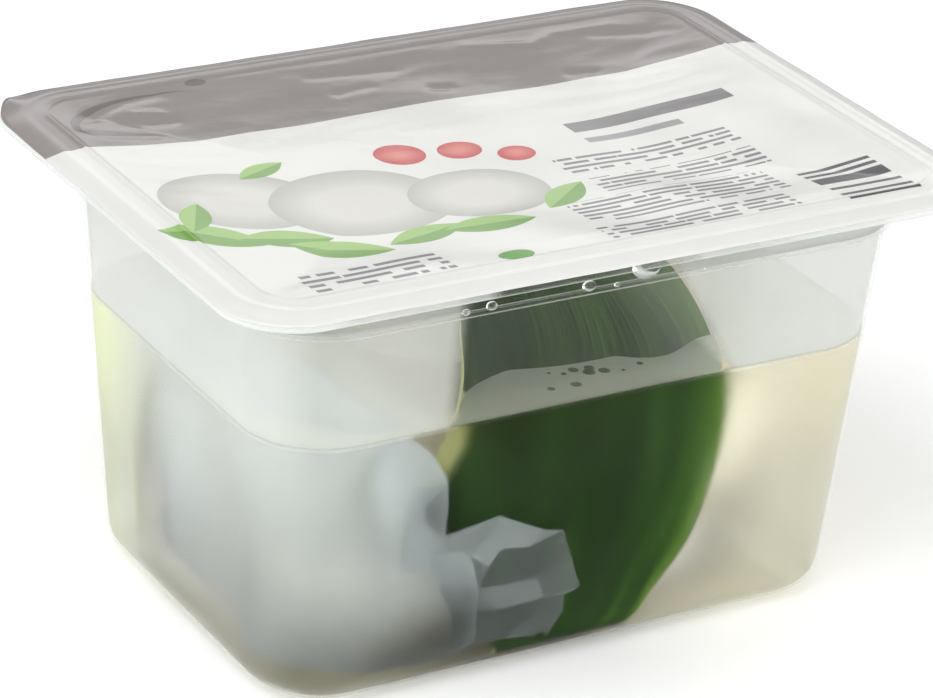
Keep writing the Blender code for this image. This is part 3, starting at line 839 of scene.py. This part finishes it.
def make_bag():
    bm = shaped_grid(200, 90, bag_point)
    for _ in range(14):
        bmesh.ops.smooth_vert(
            bm, verts=bm.verts, factor=0.5, use_axis_x=True, use_axis_y=True, use_axis_z=True,
        )
    layers_and_painted_light = bm.loops.layers.float_color.new("layers_and_painted_light")
    for face in bm.faces:
        face.smooth = True
        for loop in face.loops:
            loop[layers_and_painted_light] = (*layers_at(loop.vert.co), 0.0, 1.0)
    add_crumple(bm, layers_and_painted_light)
    bag = add_piece("gathered_film", bm, "film_bag", "film_bag", flat=True)
    bag.data.materials.append(film_finish())
    sheet = bag.modifiers.new("sheet", "SOLIDIFY")
    sheet.thickness = 0.12 * MM
    sheet.offset = 0.0


make_bag()


# ---------------------------------------------------------------------------------
# Drops.  Water that has condensed under the lid and run down the wall: it lies in
# clear beads along the ledge inside.
# ---------------------------------------------------------------------------------
LEDGE_DROPS = (
    (-28.5, 1.6), (-23.5, 2.2), (-4.5, 2.6), (0.8, 1.2), (7.4, 5.4), (18.7, 0.9), (24.6, 1.2),
)


def add_drop(bm, place, width, height):
    """A bead of water: round in plan, flatter where it lies on the wall."""
    shape = Matrix.LocRotScale(place, None, (width / 2, width * 0.3, height / 2))
    bmesh.ops.create_uvsphere(bm, u_segments=24, v_segments=14, radius=1.0, matrix=shape)


def water_finish():
    """Clear water: a small lens with a bright edge."""
    finish, tree = new_finish("clear water")
    drop = add(tree, "BsdfGlass", {"Color": (1, 1, 1, 1), "Roughness": 0.0, "IOR": 1.33})
    surface = shadows_pass(tree, drop.outputs[0], "FFFFFF")
    add(tree, "OutputMaterial", {"Surface": surface})
    return finish


def make_drops():
    bm = bmesh.new()
    shelf = LEDGE_WIDTH / 2 + LEDGE_STEP - TUB_WALL
    for x, width in LEDGE_DROPS:
        size = width * MM
        place = Vector((x * MM, -shelf + size * 0.34, LEDGE_HEIGHT + size * 0.34 + 0.2 * MM))
        add_drop(bm, place, size, size * 0.75)
    drops = add_piece("condensed_drops", bm, "brine")
    drops.data.materials.append(water_finish())


make_drops()


# ---------------------------------------------------------------------------------
# Sealing film.  Printed polyester film, welded along the flange and drawn down a
# little inside the mouth by the cold; it is wrinkled and puckered along the back.
# ---------------------------------------------------------------------------------
FILM_SAG = 3.0 * MM
SEAL_WIDTH = 5.2 * MM
BAND_EDGE = 24.5 * MM


CREASES = (
    (((-63.0, 33.0), (-60.5, 36.6), (-56.9, 39.2), (-51.0, 41.6), (-44.0, 43.2)), 1.3, -0.5),
    (((-50.0, 36.8), (-46.5, 36.4)), 1.2, 0.35),
    (((-49.5, 33.6), (-45.5, 33.2)), 1.2, -0.35),
    (((-63.0, 29.5), (-50.0, 27.5)), 1.1, 0.18),
    (((-29.0, 45.5), (-6.0, 43.5), (12.0, 44.5)), 1.3, 0.3),
    (((-14.0, 40.0), (2.0, 38.5)), 1.2, -0.25),
    (((-12.0, 33.0), (-5.0, 33.8)), 1.2, -0.3),
    (((6.0, 29.5), (9.0, 29.0)), 1.3, -0.35),
    (((20.0, 43.0), (33.0, 39.0), (38.0, 42.5), (52.0, 42.0)), 1.3, 0.32),
    (((34.0, 27.0), (38.5, 26.5)), 1.2, -0.35),
    (((46.0, 40.0), (62.0, 36.0)), 1.3, -0.25),
    (((-69.8, 40.0), (-68.6, 26.0)), 1.0, -0.25),
)


def from_line(spot, points):
    """Distance from a spot to a bent line."""
    best = 1.0
    for start, end in zip(points, points[1:]):
        a = Vector(start) * MM
        run = Vector(end) * MM - a
        share = max(0.0, min(1.0, (spot - a).dot(run) / run.length_squared))
        best = min(best, (spot - a - run * share).length)
    return best


def film_height(x, y):
    """Height of the film over the flange's land."""
    core_x = max(abs(x) - (LAND_LENGTH / 2 - LAND_RADIUS), 0.0)
    core_y = max(abs(y) - (LAND_WIDTH / 2 - LAND_RADIUS), 0.0)
    inside = min(LAND_LENGTH / 2 - abs(x), LAND_WIDTH / 2 - abs(y))
    depth = LAND_RADIUS - hypot(core_x, core_y) if core_x and core_y else inside
    place = Vector((x, y, 0.0))
    corner = (Vector((x, y)) - Vector((-69.5, 49.0)) * MM).length
    curl = 1.2 * MM * exp(-(corner / (3.6 * MM)) ** 2)
    edge = 0.12 * MM * noise.noise(place * 90.0)
    if depth < 0:
        share = min(1.0, -depth / LIP_REACH)
        return -LIP_DROP * share + (curl + edge) * share
    bead = 0.3 * MM * exp(-((depth - 4.2 * MM) / (0.4 * MM)) ** 2)
    bead -= 0.16 * MM * exp(-((depth - 1.6 * MM) / (0.5 * MM)) ** 2)
    share = max(0.0, min(1.0, (depth - SEAL_WIDTH) / (38.0 * MM)))
    sag = FILM_SAG * sin(pi / 2 * share)
    loose = max(0.0, min(1.0, (depth - 5.0 * MM) / (5.0 * MM)))
    back = max(0.25, min(1.0, (y + 5 * MM) / (30 * MM)))
    wave = 0.45 * noise.noise(place * 55.0)
    fine = Vector((x * 55.0, y * 170.0, 1.0))
    wave += 0.1 * (1 - 2 * abs(noise.noise(fine))) * back
    wave += 0.02 * (1 - 2 * abs(noise.noise(place * 420.0))) * back
    for points, width, lift in CREASES:
        away = from_line(Vector((x, y)), points) / (width * MM)
        if away < 3:
            wave += lift * exp(-away * away)
    return bead - sag + loose * wave * MM


def disc(tree, flat, centre, radii, turn=0.0):
    """A printed disc or ellipse: its own unit coordinates and their length."""
    unit = add(tree, "Mapping", {
        "Vector": flat, "Location": (centre[0] * MM, centre[1] * MM, 0),
        "Rotation": (0, 0, radians(turn)), "Scale": (radii[0] * MM, radii[1] * MM, 1),
    }, vector_type="TEXTURE").outputs[0]
    return unit, add(tree, "VectorMath", {0: unit}, operation="LENGTH").outputs["Value"]


def box(tree, x, y, centre, halves):
    """1 in a printed rectangle."""
    masks = [
        add(tree, "Math", {0: value, 1: middle * MM, 2: half * MM}, operation="COMPARE").outputs[0]
        for value, middle, half in zip((x, y), centre, halves)
    ]
    return add(tree, "Math", {0: masks[0], 1: masks[1]}, operation="MULTIPLY").outputs[0]


def paint(tree, ink, mask, colour):
    """Print a colour over the ink where the mask is 1."""
    return add(tree, "MixRGB", {0: mask, 1: ink, 2: colour}).outputs[0]


def times(tree, a, b, operation="MULTIPLY"):
    return add(tree, "Math", {0: a, 1: b}, operation=operation).outputs[0]


def dashes(tree, x, y, centre, halves, pitch, seed):
    """Rows of short grey dashes, like a paragraph seen from afar."""
    rows = times(tree, y, pitch * MM, "DIVIDE")
    row = add(tree, "Math", {0: rows}, operation="FLOOR").outputs[0]
    within = add(tree, "Math", {0: rows}, operation="FRACT").outputs[0]
    within = add(tree, "Math", {0: within, 1: 0.5, 2: 0.24}, operation="COMPARE").outputs[0]
    spot = add(tree, "CombineXYZ", {
        "X": times(tree, x, 330.0), "Y": times(tree, row, 5.37), "Z": seed,
    }).outputs[0]
    words = add(tree, "TexNoise", {"Vector": spot, "Scale": 1.0, "Detail": 1.0}).outputs[0]
    words = times(tree, words, 0.42, "GREATER_THAN")
    return times(tree, times(tree, within, words), box(tree, x, y, centre, halves))


SLICES = (((-50.0, -3.0), (14.5, 12.5)), ((-30.0, -9.5), (16.5, 14.0)), ((-9.0, -13.5), (13.0, 11.0)))
BERRIES = (((-13.5, 7.0), 4.8), ((-2.5, 5.0), 4.1), ((6.0, -0.5), 3.5))
SPRIGS = (
    ((-62.0, -17.0), (9.5, 4.2), -32), ((-50.0, -20.0), (8.5, 3.6), -8),
    ((-43.0, -26.5), (9.0, 4.0), -28), ((-27.0, -26.5), (8.0, 3.4), 12),
    ((-15.0, -27.5), (8.5, 3.8), -6), ((-61.5, -9.0), (6.5, 2.8), 62),
    ((4.0, -20.5), (7.5, 3.2), 38), ((-40.0, 9.0), (6.0, 2.4), 25),
)


def lid_finish():
    """Printed film: grey band, white field; glossy, and a little light comes through.
    On the band, painted shade darkens a crease and the back edge, and a small oval spot is darker.
    """
    finish, tree = new_finish("printed polyester film")
    place = add(tree, "TexCoord").outputs["Object"]
    split = add(tree, "SeparateXYZ", {0: place})
    x, y = split.outputs["X"], split.outputs["Y"]
    flat = add(tree, "CombineXYZ", {"X": x, "Y": y}).outputs[0]
    white = linear("EFEEED")
    cloud = add(tree, "TexNoise", {"Vector": place, "Scale": 30.0, "Detail": 2.0}).outputs[0]
    ink = add(tree, "MixRGB", {0: cloud, 1: white, 2: linear("E6E7E3")}).outputs[0]
    for centre, radii in SLICES:
        unit, away = disc(tree, flat, centre, radii)
        shade = add(tree, "MapRange", {"Value": away, "From Min": 0.5, "From Max": 1.0}).outputs[0]
        tone = add(tree, "MixRGB", {0: shade, 1: linear("E0DFDA"), 2: linear("C4C5BF")}).outputs[0]
        ink = paint(tree, ink, times(tree, away, 1.0, "LESS_THAN"), tone)
    for centre, radius in BERRIES:
        unit, away = disc(tree, flat, centre, (radius, radius * 0.9))
        shade = add(tree, "MapRange", {"Value": away, "From Min": 0.2, "From Max": 1.0}).outputs[0]
        tone = add(tree, "MixRGB", {0: shade, 1: linear("E58A80"), 2: linear("C9413C")}).outputs[0]
        ink = paint(tree, ink, times(tree, away, 1.0, "LESS_THAN"), tone)
    for centre, radii, turn in SPRIGS:
        unit, away = disc(tree, flat, centre, radii, turn)
        parts = add(tree, "SeparateXYZ", {0: unit})
        across = add(tree, "Math", {0: parts.outputs["Y"]}, operation="ABSOLUTE").outputs[0]
        square = times(tree, parts.outputs["X"], parts.outputs["X"])
        inside = times(tree, times(tree, square, across, "ADD"), 1.0, "LESS_THAN")
        half = times(tree, parts.outputs["Y"], 0.0, "GREATER_THAN")
        tone = add(tree, "MixRGB", {0: half, 1: linear("7DB04A"), 2: linear("A5CC74")}).outputs[0]
        ink = paint(tree, ink, inside, tone)
    grey = linear("8E8C90")
    for centre, halves, pitch, seed in (
        ((28.0, -9.5), (18.0, 3.6), 1.8, 1.0), ((28.5, -19.0), (17.0, 3.6), 1.8, 2.0),
        ((21.0, -30.0), (20.0, 5.4), 1.8, 3.0), ((18.0, -41.5), (19.0, 3.6), 1.8, 4.0),
        ((-44.0, -40.0), (13.0, 5.0), 2.5, 5.0),
    ):
        ink = paint(tree, ink, dashes(tree, x, y, centre, halves, pitch, seed), grey)
    ink = paint(tree, ink, box(tree, x, y, (38.0, 6.5), (17.0, 2.2)), linear("8A8789"))
    ink = paint(tree, ink, box(tree, x, y, (31.0, 0.2), (10.0, 1.1)), linear("A9A6A8"))
    stripe = add(tree, "CombineXYZ", {"Y": times(tree, y, 900.0)}).outputs[0]
    stripe = add(tree, "TexWhiteNoise", {
        "Vector": add(tree, "VectorMath", {0: stripe}, operation="FLOOR").outputs[0],
    }).outputs["Value"]
    bars = times(tree, times(tree, stripe, 0.5, "GREATER_THAN"), box(tree, x, y, (53.0, -38.0), (7.5, 9.0)))
    ink = paint(tree, ink, bars, linear("5A585C"))
    unit, away = disc(tree, flat, (-19.5, -43.5), (3.2, 2.4))
    ink = paint(tree, ink, times(tree, away, 1.0, "LESS_THAN"), linear("6FB04C"))
    band = times(tree, y, BAND_EDGE, "GREATER_THAN")
    grey = linear("A29B99")
    # Painted shade: the crescent inside the dry ellipse and outside the wet one darkens the band along the
    # crease at the back left corner. A small oval spot beside it is darkened too.
    _, dry = disc(tree, flat, (-46.0, 34.0), (18.0, 9.5))
    _, wet = disc(tree, flat, (-44.0, 32.9), (18.6, 10.0))
    crease_shade_and_spot = times(tree, times(tree, dry, 1.0, "LESS_THAN"), times(tree, wet, 1.0, "GREATER_THAN"))
    _, spot = disc(tree, flat, (-34.9, 44.7), (2.1, 1.2))
    crease_shade_and_spot = times(tree, crease_shade_and_spot, times(tree, spot, 1.0, "LESS_THAN"), "MAXIMUM")
    grey = paint(tree, grey, times(tree, crease_shade_and_spot, 0.55), linear("6F6866"))
    # Darker along the band's back edge: partly the film's cut edge, partly painted shade under it.
    rim = times(tree, y, LIP_WIDTH / 2 - 1.0 * MM, "GREATER_THAN")
    grey = paint(tree, grey, times(tree, rim, 0.6), linear("6F6866"))
    ink = paint(tree, ink, band, grey)
    fine = add(tree, "Mapping", {"Vector": place, "Scale": (260.0, 700.0, 1.0)}).outputs[0]
    fine = add(tree, "TexNoise", {"Vector": fine, "Scale": 1.0, "Detail": 2.0}).outputs[0]
    bump = add(tree, "Bump", {"Height": fine, "Strength": 0.35, "Distance": 0.0001}).outputs[0]
    skin = add(tree, "BsdfPrincipled", {
        "Base Color": ink, "Roughness": 0.22, "Normal": bump, "IOR": 1.5,
    })
    glow = add(tree, "BsdfTranslucent", {"Color": ink})
    film = add(tree, "MixShader", {0: 0.4, 1: skin.outputs[0], 2: glow.outputs[0]})
    add(tree, "OutputMaterial", {"Surface": film.outputs[0]})
    return finish


def make_lid():
    bm = bmesh.new()
    outer = (LIP_LENGTH, LIP_WIDTH, 13.0 * MM, 0.0)
    rim = start_ring(bm, outer, faces_up=True, run_cuts=110)
    bmesh.ops.delete(bm, geom=bm.faces[:], context="FACES_ONLY")
    shapes = []
    for reach in (0.8, 1.8, 3.3, 4.2, 4.7, 5.2, 6.2, 6.8, 7.2, 7.5, 7.8, 8.2, 8.8, 9.8):
        side = reach * MM
        radius = 13.0 * MM - side * 0.6
        shapes.append((LIP_LENGTH - 2 * side, LIP_WIDTH - 2 * side, radius, 0.0))
    length, width, radius, _ = shapes[-1]
    steps = 62
    for step in range(1, steps):
        share = 1 - step / steps
        shapes.append((length * share, width * share, radius * share, 0.0))
    for shape in shapes:
        rim = grow_ring(bm, rim, shape)
    bmesh.ops.holes_fill(bm, edges=rim)
    for point in bm.verts:
        point.co.z = RIM_HEIGHT + 0.3 * MM + film_height(point.co.x, point.co.y)
    bmesh.ops.recalc_face_normals(bm, faces=bm.faces)
    lid = add_piece("printed_lid", bm, "lid_film", "lid_film")
    lid.data.materials.append(lid_finish())
    sheet = lid.modifiers.new("sheet", "SOLIDIFY")
    sheet.thickness = 0.15 * MM
    sheet.offset = 1.0


make_lid()


# ---------------------------------------------------------------------------------
# Studio: a pale floor, a large soft lamp above on the left, a weaker one on the
# right, and the camera, which looks down on the tub's front left corner.
# ---------------------------------------------------------------------------------
def make_floor():
    bm = bmesh.new()
    bmesh.ops.create_grid(bm, x_segments=8, y_segments=8, size=3.0)
    mesh = bpy.data.meshes.new("floor")
    bm.to_mesh(mesh)
    bm.free()
    floor = bpy.data.objects.new("floor", mesh)
    bpy.context.scene.collection.objects.link(floor)
    finish, tree = new_finish("white studio paper")
    paper = add(tree, "BsdfPrincipled", {"Base Color": linear("FBFBFB"), "Roughness": 0.9,
                                         "Specular IOR Level": 0.1})
    add(tree, "OutputMaterial", {"Surface": paper.outputs[0]})
    mesh.materials.append(finish)


def make_lamp(name, place, target, size, power):
    lamp = bpy.data.lights.new(name, "AREA")
    lamp.shape = "RECTANGLE"
    lamp.size, lamp.size_y = size
    lamp.energy = power
    holder = bpy.data.objects.new(name, lamp)
    holder.location = place
    holder.rotation_euler = (Vector(place) - Vector(target)).to_track_quat("Z", "Y").to_euler()
    bpy.context.scene.collection.objects.link(holder)


def make_studio():
    make_floor()
    make_lamp("key", (-0.9, -0.2, 1.3), (0, 0, 0.04), (1.2, 1.2), 12.0)
    make_lamp("fill", (1.1, -1.2, 0.6), (0, 0, 0.04), (1.1, 0.8), 11.0)
    make_lamp("front", (-0.75, -1.35, 0.42), (0, 0, 0.04), (1.3, 0.7), 10.0)
    make_lamp("left", (-1.5, 0.1, 0.4), (0, 0, 0.04), (0.9, 0.7), 5.5)
    make_lamp("back", (0.9, 1.5, 0.75), (0, 0, 0.08), (1.6, 0.5), 6.0)
    world = bpy.data.worlds.new("studio")
    world.use_nodes = True
    world.node_tree.nodes["Background"].inputs["Color"].default_value = (1, 1, 1, 1)
    world.node_tree.nodes["Background"].inputs["Strength"].default_value = 0.62
    bpy.context.scene.world = world
    bpy.context.scene.view_settings.view_transform = "Standard"


def make_camera():
    turn, tilt, roll = radians(-31.3), radians(25.27), radians(3.39)
    distance = 736.5 * MM
    target = Vector((0.0, 2.7, 41.0)) * MM
    back = Vector((sin(turn) * cos(tilt), -cos(turn) * cos(tilt), sin(tilt)))
    lens = bpy.data.cameras.new("camera")
    lens.lens = 157.4
    lens.sensor_width = 36.0
    lens.clip_start = 0.01
    camera = bpy.data.objects.new("camera", lens)
    camera.location = target + back * distance
    aim = back.to_track_quat("Z", "Y") @ Quaternion((0, 0, 1), roll)
    camera.rotation_euler = aim.to_euler()
    bpy.context.scene.collection.objects.link(camera)
    bpy.context.scene.camera = camera


make_studio()
make_camera()
